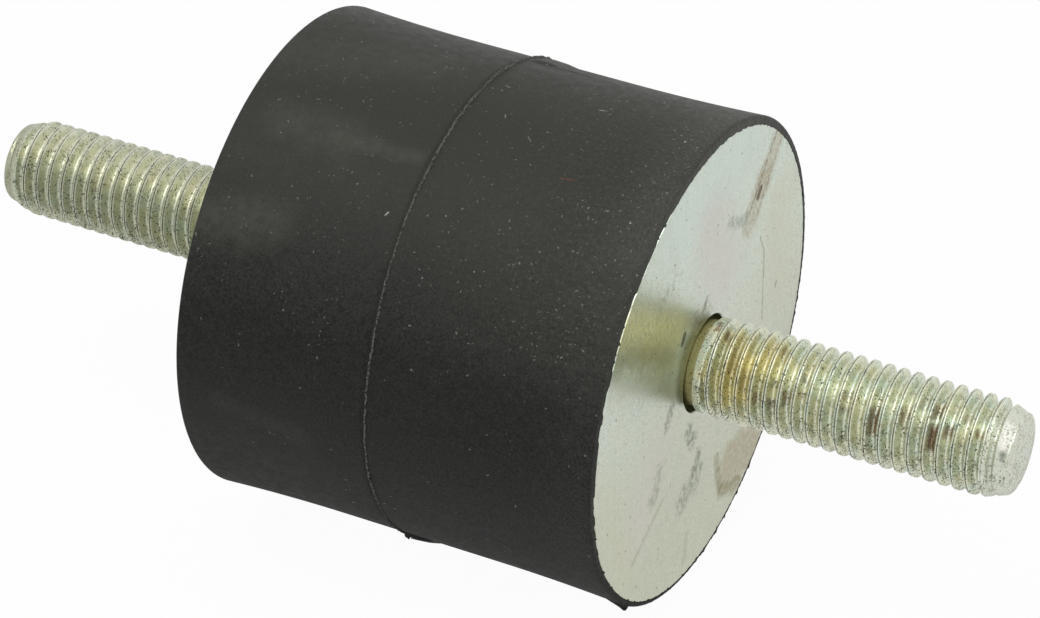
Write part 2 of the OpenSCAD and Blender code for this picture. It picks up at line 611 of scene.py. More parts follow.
def build_speck_group():
    """Round specks on a flat place, most of them faint: Share of the cells hold one, up to Size wide."""
    tree, given, made = new_group(
        "Specks", [("Place", "Vector"), ("Scale", "Float"), ("Share", "Float"), ("Size", "Float")],
        [("Mask", "Float")])
    cells = put(tree, "TexVoronoi", voronoi_dimensions="2D", feature="F1")
    feed(tree, cells.inputs["Vector"], given["Place"])
    feed(tree, cells.inputs["Scale"], given["Scale"])
    chance = put(tree, "SeparateColor")
    feed(tree, chance.inputs[0], cells.outputs["Color"])
    radius = times(tree, given["Size"], between(tree, chance.outputs["Green"], 0, 1, 0.4, 1.0))
    spot = between(tree, cells.outputs["Distance"], radius, times(tree, radius, 0.6))
    kept = calc(tree, "LESS_THAN", chance.outputs["Red"], given["Share"])
    bright = calc(tree, "POWER", chance.outputs["Blue"], 2.5)
    strength = calc(tree, "ADD", times(tree, bright, 0.9), 0.1)
    feed(tree, made["Mask"], times(tree, spot, kept, strength))
    return tree


def build_stroke_group():
    """A ragged stroke from Start to End: Soft widens its edge and Patchy breaks up its inside."""
    tree, given, made = new_group(
        "Stroke", [("Place", "Vector"), ("Start", "Vector"), ("End", "Vector"), ("Width", "Float"),
                   ("Ragged", "Float"), ("Grain", "Float"), ("Soft", "Float"), ("Patchy", "Float")],
        [("Mask", "Float")])
    span = vector_calc(tree, "SUBTRACT", given["End"], given["Start"])
    offset = vector_calc(tree, "SUBTRACT", given["Place"], given["Start"])
    share = calc(tree, "DIVIDE", vector_calc(tree, "DOT_PRODUCT", offset, span, "Value"),
                 vector_calc(tree, "DOT_PRODUCT", span, span, "Value"), clamp=True)
    spread = put(tree, "CombineXYZ")
    for axis in "XYZ":
        feed(tree, spread.inputs[axis], share)
    nearest = vector_calc(tree, "MULTIPLY", span, spread.outputs[0])
    reach = calc(tree, "DIVIDE", vector_calc(tree, "DISTANCE", offset, nearest, "Value"), given["Width"])
    wobble = calc(tree, "SUBTRACT", cloud(tree, given["Place"], given["Grain"], 5.0, 0.65), 0.5)
    reach = calc(tree, "ADD", reach, times(tree, wobble, given["Ragged"]))
    outer = calc(tree, "ADD", 1.0, times(tree, given["Soft"], 0.35))
    full = calc(tree, "SUBTRACT", 1.0, times(tree, given["Soft"], 0.65))
    body = between(tree, reach, outer, full)
    inside = cloud(tree, given["Place"], times(tree, given["Grain"], 2.6), 3.0, 0.6)
    worn = between(tree, inside, 0.36, 0.62, calc(tree, "SUBTRACT", 1.0, given["Patchy"]), 1.0)
    feed(tree, made["Mask"], times(tree, body, worn))
    return tree


def build_streak_group():
    """Fine streaks: noise stretched by a different scale along each axis."""
    tree, given, made = new_group(
        "Streaks", [("Place", "Vector"), ("Stretch", "Vector")], [("Value", "Float")])
    stretched = vector_calc(tree, "MULTIPLY", given["Place"], given["Stretch"])
    feed(tree, made["Value"], cloud(tree, stretched, 1.0, 4.0, 0.6))
    return tree


def build_thread_group():
    """Place on the thread: Across is 0 at a root and a half at a crest, and Radius is taken from the axis."""
    tree, given, made = new_group(
        "Thread", [("Place", "Vector"), ("Offset", "Float")],
        [("Along", "Float"), ("Radius", "Float"), ("Across", "Float"), ("Height", "Float")])
    parts = split(tree, given["Place"])
    turned = calc(tree, "DIVIDE", calc(tree, "ARCTAN2", parts["Z"], parts["Y"]), math.tau)
    wound = calc(tree, "SUBTRACT", calc(tree, "DIVIDE", parts["X"], PITCH), turned)
    feed(tree, made["Along"], parts["X"])
    feed(tree, made["Height"], parts["Z"])
    feed(tree, made["Across"], calc(tree, "FRACT", calc(tree, "ADD", wound, given["Offset"])))
    across_axis = vector_calc(tree, "MULTIPLY", given["Place"], (0, 1, 1))
    feed(tree, made["Radius"], vector_calc(tree, "LENGTH", across_axis, (0, 0, 0), "Value"))
    return tree


SPECKS = build_speck_group()
STROKE = build_stroke_group()
STREAKS = build_streak_group()
THREAD = build_thread_group()
print("groups:", [group.name for group in (SPECKS, STROKE, STREAKS, THREAD)])


def stroke(tree, place, ends, width, ragged, grain, soft, patchy):
    """Mask of a ragged stroke between two points, with its half width in mm."""
    return use(tree, STROKE, Place=place, Start=ends[0], End=ends[1], Width=width * MM, Ragged=ragged,
               Grain=grain, Soft=soft, Patchy=patchy)["Mask"]

# %% Helpers that the finishes share


def new_material(name):
    """A material with one Principled shader: its tree, the shader's sockets and Object coordinates."""
    material = bpy.data.materials.new(name)
    material.use_nodes = True
    tree = material.node_tree
    shader = tree.nodes["Principled BSDF"]
    place = put(tree, "TexCoord").outputs["Object"]
    return material, tree, shader.inputs, place


def flat(tree, across, up):
    """A flat place from two lengths."""
    node = put(tree, "CombineXYZ")
    feed(tree, node.inputs["X"], across)
    feed(tree, node.inputs["Y"], up)
    return node.outputs[0]


def unrolled(tree, place, radius):
    """The skin of a round piece laid flat, with the cut on the side away from the camera."""
    parts = split(tree, vector_calc(tree, "MULTIPLY", place, (1, -1, -1)))
    return flat(tree, parts["X"], times(tree, calc(tree, "ARCTAN2", parts["Z"], parts["Y"]), radius))


def shaken(tree, place, scale, reach):
    """A place shaken by noise, so that round marks on it turn ragged."""
    node = put(tree, "TexNoise")
    feed(tree, node.inputs["Vector"], place)
    feed(tree, node.inputs["Scale"], scale)
    shake = vector_calc(tree, "SUBTRACT", node.outputs["Color"], (0.5, 0.5, 0.5))
    return vector_calc(tree, "ADD", place, vector_calc(tree, "MULTIPLY", shake, (reach, reach, reach)))


def bump(tree, height, depth):
    """A normal from a height of 0 to 1, with the depth given in metres."""
    node = put(tree, "Bump")
    feed(tree, node.inputs["Height"], height)
    node.inputs["Strength"].default_value = 1.0
    node.inputs["Distance"].default_value = depth
    return node.outputs["Normal"]


# %% [markdown]
# Black rubber is hardly ever plain black. Bloom and dust grey it, most of all near the front where it has
# been handled, short fibres cling to it, and the torn fin is paler than the skin. The top is painted lighter
# as a painted highlight, the skin below the middle darker as painted shade, the face of the front rim darker
# as painted shade, and the fin's crest lighter higher up as a painted highlight. The gloss is low and uneven,
# and lowest underneath.

# %% Rubber finish
SKIN_BLACK = linear(0.006, 0.0066, 0.0056)
SKIN_GREY = linear(0.035, 0.0356, 0.0316)
POCK_BLACK = linear(0.012, 0.012, 0.011)
# Painted shade for the skin below the middle of the body
BELOW_MIDDLE_SHADE_BLACK = linear(0.003, 0.0036, 0.0033)
FOOT_GREY = linear(0.032, 0.035, 0.030)
# Paler torn rubber, also a painted highlight on the fin's crest
TORN_GREY_AND_HIGHLIGHT = linear(0.17, 0.17, 0.15)
# Painted shade for the face of the front rim
RIM_FACE_SHADE_BLACK = linear(0.005, 0.0048, 0.004)
# Bloom on the handled front, also used as the painted highlight on the top of the rubber
BLOOM_AND_LIT_TOP_GREY = linear(0.044, 0.044, 0.037)
HAZE = linear(0.066, 0.066, 0.055)
DUST = linear(0.34, 0.34, 0.305)
LINT = linear(0.55, 0.54, 0.50)
RED_FIBRE = linear(0.20, 0.06, 0.045)
# Colour, strength, half width, softness, and the two ends as a place along in mm and an angle
RUBBER_MARKS = [
    (HAZE, 0.75, 2.4, 1.5, (-17.5, 113.5), (-10.5, 114.4)),
    (HAZE, 0.80, 0.9, 1.5, (-12.0, 115.0), (-3.4, 114.2)),
    (HAZE, 0.80, 2.6, 1.5, (-20.8, 141.0), (-15.0, 138.0)),
    (HAZE, 0.55, 3.4, 1.5, (-21.0, 96.0), (-9.0, 86.0)),
    (HAZE, 0.22, 1.2, 1.5, (-18.0, 184.0), (-9.0, 188.0)),
    (RED_FIBRE, 0.65, 0.09, 0.8, (10.8, 109.3), (12.3, 108.9)),
    (LINT, 0.65, 0.06, 0.8, (9.9, 84.5), (10.6, 84.1)),
    (LINT, 0.30, 0.05, 0.8, (5.6, 100.4), (6.2, 101.7)),
    (LINT, 0.75, 0.08, 0.8, (-4.0, 129.5), (-3.8, 128.7)),
    (LINT, 0.35, 0.06, 0.8, (2.15, 95.6), (2.35, 96.6)),
]
RUBBER_GRAIN = 0.035 * MM
DUST_CLUSTER = ((-6.8, 157), (-6.5, 166), 2.4)
print(len(RUBBER_MARKS), "marks on the rubber")

# %% Build the rubber finish


def on_rubber(along, degrees):
    """A point on the waist of the rubber, from a place along in mm and an angle."""
    angle = math.radians(degrees)
    return (along * MM, WAIST_R * math.cos(angle), WAIST_R * math.sin(angle))


def rubber_finish():
    """Satin black rubber with dust, bloom, fibres and faint scuffs, and painted light and shade on the top,
    below the middle, on the rim face and on the fin.
    """
    material, tree, shader, place = new_material("black_rubber")
    parts = split(tree, place)
    radius = vector_calc(tree, "LENGTH", vector_calc(tree, "MULTIPLY", place, (0, 1, 1)), (0, 0, 0), "Value")
    broad = cloud(tree, place, 70)
    mottle = cloud(tree, place, 900, 6, 0.75)
    fine = cloud(tree, place, 4200, 2, 0.6)
    scuffs = use(tree, STREAKS, Place=place, Stretch=(300, 1900, 1900))["Value"]
    skin = shaken(tree, unrolled(tree, place, WAIST_R), 5000, 0.6 * MM)
    front = between(tree, parts["X"], -3 * MM, 18 * MM)
    above = between(tree, parts["Z"], 2 * MM, 16 * MM)
    handled = times(tree, front, above, between(tree, broad, 0.3, 0.6))
    shade = calc(tree, "ADD", times(tree, mottle, 0.4), times(tree, fine, 0.6))
    colour = mix(tree, between(tree, shade, 0.34, 0.66), SKIN_BLACK, SKIN_GREY)
    colour = mix(tree, times(tree, handled, between(tree, scuffs, 0.35, 0.7, 0.05, 0.60)), colour, BLOOM_AND_LIT_TOP_GREY)
    # Painted highlight: the skin is painted lighter towards the top, where the key lamp's light falls
    colour = mix(tree, between(tree, parts["Z"], 8 * MM, 24 * MM, 0.0, 0.70), colour, BLOOM_AND_LIT_TOP_GREY)
    tufts = between(tree, cloud(tree, place, 2400, 5, 0.8), 0.46, 0.68, 0.0, 0.75)
    colour = mix(tree, times(tree, tufts, between(tree, parts["Z"], 4 * MM, 18 * MM), front), colour, HAZE)
    pocks = between(tree, cloud(tree, place, 3100, 3, 0.7), 0.46, 0.30, 0.0, 0.50)
    colour = mix(tree, times(tree, pocks, front), colour, POCK_BLACK)
    # Painted shade: the skin is painted darker below the middle of the body, where less light falls
    colour = mix(tree, between(tree, parts["Z"], 13 * MM, 7 * MM, 0.0, 0.30), colour, BELOW_MIDDLE_SHADE_BLACK)
    foot = times(tree, between(tree, parts["X"], -2 * MM, -12 * MM),
                 between(tree, parts["Z"], 6 * MM, -8 * MM))
    colour = mix(tree, times(tree, foot, 0.35), colour, FOOT_GREY)
    for paint, strength, width, soft, start, end in RUBBER_MARKS:
        ends = on_rubber(*start), on_rubber(*end)
        mark = stroke(tree, place, ends, width, ragged=1.3, grain=420.0, soft=soft, patchy=0.5)
        colour = mix(tree, times(tree, mark, strength), colour, paint)
    start, end, width = DUST_CLUSTER
    ends = on_rubber(*start), on_rubber(*end)
    cluster = stroke(tree, place, ends, width, ragged=1.0, grain=300.0, soft=1.4, patchy=0.0)
    reach = between(tree, parts["X"], 15 * MM, 22 * MM)
    edge = times(tree, reach, between(tree, parts["Z"], 14 * MM, 21 * MM))
    crowd = calc(tree, "MAXIMUM", calc(tree, "MAXIMUM", times(tree, handled, 0.7), cluster), edge)
    film = times(tree, reach, between(tree, shade, 0.38, 0.62, 0.4, 1.6),
                 between(tree, parts["Z"], 18.5 * MM, 21.5 * MM, 0.018, 0.055))
    colour = mix(tree, film, colour, DUST)
    airy = between(tree, parts["Z"], 4 * MM, 17 * MM, 0.15, 1.0)
    drift = calc(tree, "ADD", times(tree, crowd, 0.35), cloud(tree, place, 260, 4, 0.6))
    share = between(tree, drift, 0.42, 0.85, 0.03, 0.90)
    powder = use(tree, SPECKS, Place=skin, Scale=1900.0, Share=times(tree, share, airy), Size=0.20)["Mask"]
    sparse = times(tree, share, airy, 0.4)
    flecks = use(tree, SPECKS, Place=skin, Scale=620.0, Share=sparse, Size=0.075)["Mask"]
    lint_place = vector_calc(tree, "MULTIPLY", skin, (0.3, 1, 1))
    lint = use(tree, SPECKS, Place=lint_place, Scale=620.0, Share=0.12, Size=0.045)["Mask"]
    rim = between(tree, parts["X"], FACE_X - 0.26 * MM, FACE_X - 0.10 * MM)
    skin_only = calc(tree, "SUBTRACT", 1.0, rim)
    colour = mix(tree, times(tree, powder, skin_only, between(tree, cluster, 0, 1, 0.65, 1.0)), colour, DUST)
    colour = mix(tree, times(tree, calc(tree, "MAXIMUM", flecks, lint), skin_only, 0.75), colour, LINT)
    beside_seam = calc(tree, "ABSOLUTE", calc(tree, "SUBTRACT", parts["X"], SEAM_X))
    # The torn fin is paler than the skin, and its crest is also a painted highlight, stronger higher up
    torn_and_lit_fin = times(tree, between(tree, radius, WAIST_R + 0.02 * MM, WAIST_R + 0.09 * MM),
                 between(tree, beside_seam, 0.6 * MM, 0.35 * MM), between(tree, fine, 0.35, 0.6),
                 between(tree, parts["Z"], -16 * MM, -4 * MM, 0.2, 0.75))
    colour = mix(tree, torn_and_lit_fin, colour, TORN_GREY_AND_HIGHLIGHT)
    # Painted shade: the face of the front rim is painted darker, to keep it black where the lamps light it
    colour = mix(tree, times(tree, rim, 0.12), colour, RIM_FACE_SHADE_BLACK)
    feed(tree, shader["Base Color"], colour)
    satin = between(tree, mottle, 0.25, 0.75, 0.46, 0.66)
    dull = between(tree, parts["Z"], 0, -22 * MM, 0.0, 0.28)
    feed(tree, shader["Roughness"], calc(tree, "ADD", satin, dull))
    shader["Specular IOR Level"].default_value = 0.17
    feed(tree, shader["Normal"], bump(tree, shade, RUBBER_GRAIN))
    return material


# %% [markdown]
# Bright zinc is a blue-white metal that yellows where it is touched or where oil has dried. Both plates are
# painted lighter and bluer towards the top and darker and yellower towards the bottom, as painted light and
# shade. The front plate has a tan streak and a tan patch, grey smudges, a dent and fine lines, each laid
# where it is on the real one, and a painted reflection of the stud, a yellow and green-grey band to the left
# of its hole. Otherwise the rear plate has only the clouds and grain of the plating.

# %% Plate finish
# Painted shade at the bottom of the plates and painted light at their top
SHADED_LOW_ZINC = linear(0.520, 0.545, 0.410)
LIT_HIGH_ZINC = linear(0.642, 0.722, 0.634)
WARM_CLOUD = linear(0.59, 0.575, 0.48)
COOL_CLOUD = linear(0.44, 0.49, 0.43)
STREAK_GREY = linear(0.40, 0.41, 0.35)
GRAIN_GREY = linear(0.33, 0.34, 0.28)
SPECK_GREY = linear(0.13, 0.13, 0.11)
TAN = linear(0.385, 0.335, 0.22)
OLIVE = linear(0.27, 0.25, 0.14)
SMUDGE = linear(0.165, 0.19, 0.14)
BROWN = linear(0.12, 0.095, 0.065)
PINK = linear(0.585, 0.555, 0.51)
CREAM = linear(0.55, 0.555, 0.42)
FROST = linear(0.565, 0.665, 0.605)
# Colours of the stud's painted reflection in the front plate
REFLECTED_STUD_BRASS = linear(0.85, 0.83, 0.51)
REFLECTED_STUD_MOSS = linear(0.64, 0.72, 0.60)
PLATE_GRAIN = 0.006 * MM
# Colour, strength, raggedness, softness, patchiness, half width and the two ends of the stroke in mm
FRONT_PLATE_STROKES = [
    (FROST, 0.70, 1.2, 1.5, 0.4, 5.0, (-6.0, 20.0), (9.0, 20.0)),
    # Painted reflection: these two strokes paint the stud's reflection in the zinc, a yellow band above a
    # green-grey one
    (REFLECTED_STUD_BRASS, 0.70, 1.4, 1.5, 0.5, 2.2, (-19.0, 16.2), (-6.0, 7.9)),
    (REFLECTED_STUD_MOSS, 0.70, 1.6, 1.5, 0.5, 1.5, (-18.0, 10.4), (-5.3, 2.0)),
    (PINK, 0.85, 1.4, 1.5, 0.5, 4.6, (1.5, 15.0), (4.5, 8.0)),
    (PINK, 0.65, 1.4, 1.5, 0.5, 4.0, (-10.6, -4.6), (-14.5, -11.1)),
    (CREAM, 0.60, 1.4, 1.5, 0.5, 3.6, (17.6, 8.5), (17.6, -2.0)),
    (CREAM, 0.65, 1.4, 1.5, 0.5, 3.2, (-22.0, -2.0), (-17.5, -14.0)),
    (TAN, 0.60, 1.6, 0.8, 0.6, 1.90, (17.3, 17.0), (13.6, 13.2)),
    (TAN, 0.70, 1.6, 0.8, 0.6, 2.20, (13.6, 13.2), (10.9, 10.6)),
    (BROWN, 0.55, 2.0, 0.8, 0.8, 0.26, (16.3, 17.3), (10.2, 11.2)),
    (BROWN, 0.40, 2.0, 0.8, 0.8, 0.22, (18.0, 16.2), (12.3, 10.1)),
    (TAN, 0.85, 1.3, 0.6, 0.5, 3.1, (12.2, -18.6), (7.4, -17.4)),
    (OLIVE, 0.70, 2.0, 0.9, 0.5, 0.70, (4.0, -14.4), (5.0, -19.0)),
    (OLIVE, 0.80, 2.0, 0.9, 0.5, 0.90, (5.4, -19.6), (9.5, -21.4)),
    (SMUDGE, 0.50, 2.2, 1.0, 0.7, 0.75, (9.4, 10.9), (5.6, 13.1)),
    (SMUDGE, 0.80, 2.6, 0.9, 0.8, 0.90, (-3.0, -6.4), (-1.8, -8.4)),
    (SMUDGE, 0.85, 2.6, 0.9, 0.7, 0.85, (-0.4, -11.0), (-1.4, -12.3)),
    (SMUDGE, 0.65, 3.0, 1.0, 0.9, 1.50, (-0.4, -13.4), (-4.2, -14.2)),
    (SMUDGE, 0.65, 2.6, 0.9, 0.8, 0.85, (-7.1, -1.0), (-8.2, -2.2)),
    (SMUDGE, 0.45, 3.0, 1.0, 0.9, 1.10, (-9.5, -7.0), (-11.0, -9.5)),
    (BROWN, 0.35, 2.6, 1.0, 0.9, 1.10, (-2.2, 6.4), (0.8, 5.6)),
    (BROWN, 0.95, 0.4, 0.5, 0.1, 0.44, (12.9, 12.75), (12.3, 12.15)),
    (BROWN, 0.95, 1.2, 0.6, 0.3, 0.40, (-4.45, 6.2), (-4.95, 5.5)),
    (SMUDGE, 0.35, 2.2, 1.2, 0.8, 0.24, (-7.7, 13.0), (-7.2, 14.4)),
    (SMUDGE, 0.25, 2.2, 1.2, 0.8, 0.24, (-6.8, 14.8), (-5.4, 14.1)),
    (SMUDGE, 0.40, 2.6, 1.0, 0.9, 0.80, (-10.0, 13.2), (-8.9, 14.0)),
    (BROWN, 0.70, 1.6, 0.9, 0.5, 0.20, (17.7, -1.5), (17.5, -1.9)),
    (SMUDGE, 0.60, 1.8, 1.0, 0.5, 0.34, (0.7, 7.4), (-0.2, 6.4)),
    (SMUDGE, 0.55, 2.0, 0.9, 0.5, 0.17, (13.2, 6.8), (14.3, 4.4)),
    (SMUDGE, 0.55, 2.0, 0.9, 0.5, 0.17, (14.3, 4.4), (14.4, -4.0)),
    (OLIVE, 0.35, 2.0, 1.2, 0.5, 0.40, (-8.8, -11.0), (-15.6, -14.2)),
    (OLIVE, 0.35, 2.0, 1.2, 0.5, 0.55, (-2.8, -19.4), (-3.3, -22.3)),
]
print(len(FRONT_PLATE_STROKES), "strokes on the front plate")

# %% Build the plate finish


def plate_finish(name, strokes):
    """Clouded zinc, painted lighter towards the top as painted light and shade, with the strokes given."""
    material, tree, shader, place = new_material(name)
    fine = use(tree, STREAKS, Place=place, Stretch=(200, 2000, 150))["Value"]
    grain = cloud(tree, place, 3000, 3, 0.65)
    blotch = cloud(tree, place, 420, 5, 0.65)
    parts = split(tree, place)
    face = flat(tree, parts["Y"], parts["Z"])
    # Painted light and shade: the zinc is painted lighter and bluer towards the top, darker and yellower
    # below
    rise = between(tree, parts["Z"], -18 * MM, 17 * MM)
    colour = mix(tree, rise, SHADED_LOW_ZINC, LIT_HIGH_ZINC)
    colour = mix(tree, between(tree, blotch, 0.42, 0.66, 0, 0.40), colour, WARM_CLOUD)
    colour = mix(tree, between(tree, blotch, 0.46, 0.30, 0, 0.30), colour, COOL_CLOUD)
    colour = mix(tree, between(tree, fine, 0.45, 0.75, 0, 0.15), colour, STREAK_GREY)
    colour = mix(tree, between(tree, grain, 0.52, 0.75, 0, 0.28), colour, GRAIN_GREY)
    frosting = cloud(tree, place, 4800, 3, 0.7)
    colour = mix(tree, between(tree, frosting, 0.35, 0.65, 0, 0.45), colour, GRAIN_GREY)
    dull = between(tree, grain, 0.3, 0.8, 0.26, 0.42)
    for stain, strength, ragged, soft, patchy, width, start, end in strokes:
        ends = [(FACE_X, across * MM, up * MM) for across, up in (start, end)]
        mark = stroke(tree, place, ends, width, ragged, grain=700.0, soft=soft, patchy=patchy)
        body = times(tree, mark, strength)
        colour = mix(tree, body, colour, stain)
        dull = calc(tree, "ADD", dull, times(tree, body, 0.12))
    specks = use(tree, SPECKS, Place=face, Scale=800.0, Share=0.40, Size=0.14)["Mask"]
    colour = mix(tree, times(tree, specks, 0.9), colour, SPECK_GREY)
    feed(tree, shader["Base Color"], colour)
    feed(tree, shader["Roughness"], dull)
    shader["Metallic"].default_value = 1.0
    feed(tree, shader["Normal"], bump(tree, blotch, PLATE_GRAIN))
    return material


# %% [markdown]
# The studs are zinc plated too, with a yellow-green passivation. Handling polishes the two lips of each
# crest, dirt and painted shade darken the fold between them, the flank that faces the plate is painted
# darker as shade, and the plating is full of black pits. The Thread group gives all of these the course of
# the helix. Painted shade also darkens the neck and all but the top of each stud, and painted highlights lie
# along the top of the rear stud and on the bevel of the front tip.

# %% Stud finish
GREEN_ZINC = linear(0.74, 0.82, 0.69)
YELLOW_ZINC = linear(0.82, 0.82, 0.62)
# Painted shade for the flank that faces the plate
INNER_FLANK_SHADE = linear(0.30, 0.30, 0.20)
# Painted shade for the neck in the plate's hole
NECK_SHADE_BRONZE = linear(0.38, 0.34, 0.14)
DRIED_OIL = linear(0.42, 0.43, 0.28)
LIP_SILVER = linear(0.80, 0.81, 0.76)
GRIME_AND_UNDERSIDE_SHADE = linear(0.34, 0.35, 0.24)
# Grime and painted shade for all but the top of each stud
DULL_GRAIN = linear(0.22, 0.23, 0.16)
# Black of the pits, also the dirt and painted shade in the crest folds
PIT_AND_FOLD_SHADE_BLACK = linear(0.040, 0.040, 0.026)
RUST = linear(0.17, 0.078, 0.020)
GILT = linear(0.87, 0.78, 0.40)
# Colour of the painted highlight band along the top of the rear stud
HIGHLIGHT_STRAW = linear(0.95, 0.94, 0.76)
GOLD = linear(0.88, 0.77, 0.38)
STUD_GRAIN = 0.025 * MM
MARK_R = ROOT_R + 0.4 * MM
GILT_AND_HIGHLIGHT_WIDTH = 1.9
RUST_WIDTH = 0.40
# Place along in mm, angle, half length in mm and strength of each rust mark on the front stud
FRONT_RUST = [
    (42.45, 155, 1.5, 1.0), (48.3, 153, 1.5, 1.0), (48.3, 115, 0.8, 0.9), (45.3, 129, 0.5, 0.7),
    (49.7, 138, 0.6, 0.9), (52.6, 131, 0.35, 0.7), (31.4, 91, 0.35, 0.7), (34.6, 124, 0.35, 0.6),
    (39.3, 129, 0.25, 0.7), (39.6, 151, 0.25, 0.6), (30.1, 168, 0.4, 0.7), (31.8, 172, 0.4, 0.7),
    (33.1, 157, 0.6, 0.7), (24.1, 90, 0.6, 0.9), (25.4, 96, 0.5, 0.8), (46.9, 112, 0.4, 0.6),
    (51.1, 114, 0.3, 0.6), (44.9, 140, 0.3, 0.6), (26.9, 130, 1.2, 0.45), (28.4, 150, 0.8, 0.4),
]
# Place along in mm, angle and half length in mm of the yellow patches on the front stud, and of the painted
# highlight band along the top of the rear stud
FRONT_GILT = [(26.8, 125, 2.4), (28.4, 150, 1.8), (27.0, 165, 1.5), (30.5, 115, 1.5)]
REAR_HIGHLIGHT_BAND = [(along, 106, 1.2) for along in range(-52, -26, 2)]
# Colour, place along in mm, angle, half length and half width of the painted highlight on the tip's bevel and
# of the polished and stained spots
FRONT_SPOTS_AND_TIP_HIGHLIGHT = [
    # Painted highlight on the bevel of the tip
    (linear(0.97, 0.96, 0.88), 55.05, 122, 1.1, 0.70),
    (linear(0.16, 0.18, 0.15), 55.3, 151, 0.35, 0.40),
    (linear(0.16, 0.15, 0.10), 55.7, 136, 0.10, 0.16),
    (linear(0.97, 0.91, 0.62), 23.95, 125, 2.6, 0.70),
]
print(len(FRONT_RUST), "rust marks on the front stud")

# %% Build the stud finish


def on_stud(along, degrees, half_length, lean):
    """The two ends of a mark that follows the thread, from its place along in mm and its angle."""
    ends = []
    for side in (-1, 1):
        turned = side * half_length * MM / CREST_R
        angle = math.radians(degrees) + turned
        ends.append((along * MM + PITCH * turned / math.tau, MARK_R * math.cos(angle),
                     MARK_R * math.sin(angle) + lean))
    return ends


